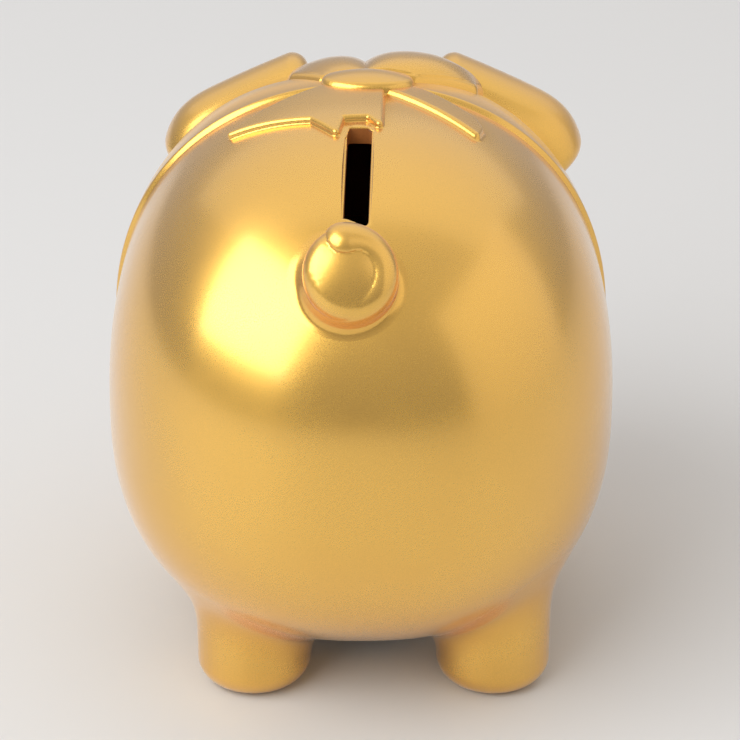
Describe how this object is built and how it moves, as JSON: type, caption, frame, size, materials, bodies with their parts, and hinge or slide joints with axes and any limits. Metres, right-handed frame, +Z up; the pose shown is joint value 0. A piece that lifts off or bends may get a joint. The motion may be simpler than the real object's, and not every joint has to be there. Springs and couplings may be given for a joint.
{
  "type": "piggy bank",
  "caption": "Round standing pig money box with a coin slot in its back, a bow in relief at its neck, a curled tail and a pull-out belly stopper.",
  "frame": {"origin": "on the surface the feet stand on, under the centre of the bounding box", "axes": "+Z up; the pig faces -Y, so +Y is towards its tail; +X is the pig's own left"},
  "size_m": [0.1064, 0.1344, 0.1174],
  "materials": {
    "gold_ceramic": "satin metallic gold paint over a smooth glaze",
    "stopper_rubber": "matte moulded"
  },
  "bodies": {
    "bank": {"body_shell": "gold_ceramic", "snout": "gold_ceramic", "eye_left": "gold_ceramic", "eye_right": "gold_ceramic", "ear_left": "gold_ceramic", "ear_right": "gold_ceramic", "foot_front_left": "gold_ceramic", "foot_front_right": "gold_ceramic", "foot_rear_left": "gold_ceramic", "foot_rear_right": "gold_ceramic", "curly_tail": "gold_ceramic", "neck_collar": "gold_ceramic", "bow_knot": "gold_ceramic", "bow_loop_left": "gold_ceramic", "bow_loop_right": "gold_ceramic", "bow_tail_left": "gold_ceramic", "bow_tail_right": "gold_ceramic"},
    "stopper": {"belly_stopper": "stopper_rubber"}
  },
  "joints": [
    {"name": "stopper_pull", "type": "slide", "parent": "bank", "child": "stopper", "axis": [0, 0, -1], "range_m": [0, 0.02]}
  ]
}
